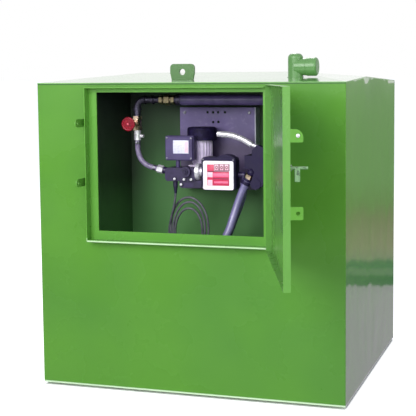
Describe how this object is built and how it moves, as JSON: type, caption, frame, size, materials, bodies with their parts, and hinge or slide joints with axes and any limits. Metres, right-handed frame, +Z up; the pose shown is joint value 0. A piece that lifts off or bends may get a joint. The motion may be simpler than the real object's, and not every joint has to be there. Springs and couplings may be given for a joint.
{
  "type": "bunded diesel fuel tank",
  "caption": "Square bunded fuel tank of welded sheet with a shallow roof, a lifting lug and a pump cabinet behind a side hung door, with pump, meter, valve, hose and nozzle.",
  "frame": {"origin": "centre of the outer tank's footprint, on the plane of the bearers' undersides", "axes": "+Z up, -Y out of the front with the cabinet door, +X to the right seen from the front"},
  "size_m": [1.2347, 1.7967, 1.278],
  "materials": {
    "green_paint": "gloss",
    "tank_steel": "satin",
    "zinc": "satin",
    "dark_steel": "satin",
    "black_plastic": "matte",
    "grey_plastic": "matte",
    "silver_paint": "satin",
    "cast_dark": "satin",
    "brass": "satin",
    "red_paint": "gloss",
    "dial": "gloss",
    "bright_metal": "polished",
    "hose_rubber": "satin",
    "clear_hose": "satin",
    "cable_grey": "satin"
  },
  "bodies": {
    "tank": {"bund_floor": "green_paint", "front_wall": "green_paint", "rear_wall": "green_paint", "left_wall": "green_paint", "right_wall": "green_paint", "roof": "green_paint", "lifting_lugs": "green_paint", "filler_pipe": "green_paint", "filler_cap": "green_paint", "inner_tank": "tank_steel", "inner_tank_top": "tank_steel", "cabinet_liner": "green_paint", "door_surround": "green_paint", "frame_hinges": "green_paint", "mounting_plate": "dark_steel", "suction_pipe": "dark_steel", "brass_union": "brass", "suction_elbow": "zinc", "gate_valve": "brass", "hose_tail": "bright_metal", "suction_hose": "clear_hose", "pump_body": "cast_dark", "motor": "silver_paint", "fan_cover": "black_plastic", "junction_box": "grey_plastic", "outlet_flange": "bright_metal", "meter_case": "black_plastic", "meter_face": "dial", "meter_outlet": "cast_dark", "nozzle_body": "black_plastic", "nozzle_spout": "bright_metal", "nozzle_holder": "dark_steel", "hose_swivel": "brass", "delivery_hose": "hose_rubber", "return_hose": "hose_rubber", "hose_coil": "hose_rubber", "power_cable": "cable_grey", "cable_coil": "cable_grey", "cable_plug": "black_plastic"},
    "cabinet_door": {"door": "green_paint", "door_hinges": "green_paint", "door_tabs": "green_paint", "latch_hub": "zinc"},
    "latch": {"latch_handle": "zinc"},
    "wheel": {"handwheel": "red_paint"}
  },
  "joints": [
    {"name": "door_hinge", "type": "hinge", "parent": "tank", "child": "cabinet_door", "pos_m": [0.337, -0.572, 0.8], "axis": [0, 0, 1], "range_deg": [-110, 30]},
    {"name": "latch_turn", "type": "hinge", "parent": "cabinet_door", "child": "latch", "pos_m": [0.58398, -1.24033, 0.931], "axis": [0.9397, 0.342, 0], "range_deg": [0, 90]},
    {"name": "wheel_turn", "type": "hinge", "parent": "tank", "child": "wheel", "pos_m": [-0.2525, -0.468, 1.018], "axis": [0, -1, 0], "range_deg": [-720, 720]}
  ]
}
